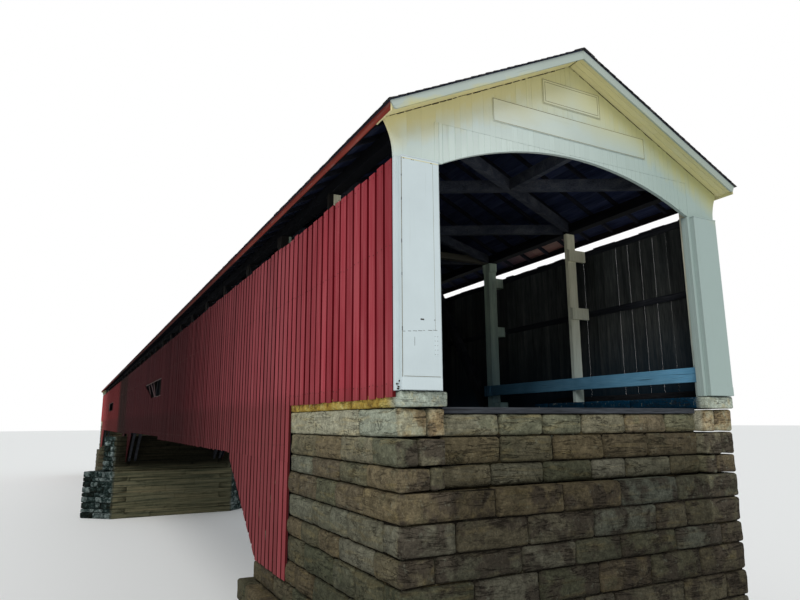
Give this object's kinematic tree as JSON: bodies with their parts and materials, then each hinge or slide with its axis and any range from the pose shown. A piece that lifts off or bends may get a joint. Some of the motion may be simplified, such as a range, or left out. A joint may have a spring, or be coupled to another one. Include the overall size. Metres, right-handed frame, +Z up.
{
  "type": "two-span covered timber arch-truss bridge, 1:10 scale model",
  "caption": "Covered timber bridge with arch-stiffened trusses, red board walls, a white arched portal at each end, stone abutments and a pointed river pier.",
  "frame": {"origin": "middle of the bridge, on the centre line, at the lowest level of pier and abutments", "axes": "+Y along the bridge away from the front portal, +X to the right seen from in front of it, +Z up"},
  "size_m": [1.1, 8.07, 1.157],
  "materials": {
    "stone": "rough split sandstone, weathered buff and grey-green",
    "dark_timber": "old sawn timber, dark and dry",
    "pale_timber": "sawn timber, weathered pale grey-brown",
    "floor_timber": "worn planks, dusty grey-brown",
    "red_paint": "rough boards with faded barn red paint",
    "white_paint": "beaded boards with chalky white paint",
    "shingles": "dark weathered shingles over roof boards"
  },
  "bodies": {
    "root": {"near_abutment": "stone", "far_abutment": "stone", "capstones": "stone", "pier": "stone", "bearing_blocks": "dark_timber", "left_lower_chord": "dark_timber", "right_lower_chord": "dark_timber", "floor_beams": "dark_timber", "deck": "floor_timber", "left_posts": "pale_timber", "right_posts": "pale_timber", "left_braces": "dark_timber", "right_braces": "dark_timber", "near_left_arch": "dark_timber", "near_right_arch": "dark_timber", "far_left_arch": "dark_timber", "far_right_arch": "dark_timber", "upper_chords": "dark_timber", "tie_beams": "dark_timber", "cross_braces": "dark_timber", "rafter_plates": "dark_timber", "left_rafters": "dark_timber", "right_rafters": "dark_timber", "left_roof": "shingles", "right_roof": "shingles", "ridge_cap": "shingles", "eave_boards": "red_paint", "near_rake_boards": "white_paint", "far_rake_boards": "white_paint", "near_soffit": "white_paint", "far_soffit": "white_paint", "near_gable": "white_paint", "far_gable": "white_paint", "near_pilasters": "white_paint", "far_pilasters": "white_paint", "sign_boards": "white_paint", "girts": "dark_timber", "girt_blocks": "pale_timber", "left_near_siding": "red_paint", "left_far_siding": "red_paint", "right_near_siding": "red_paint", "right_far_siding": "red_paint", "skirts": "red_paint", "guard_planks": "white_paint", "curbs": "floor_timber"}
  },
  "joints": []
}
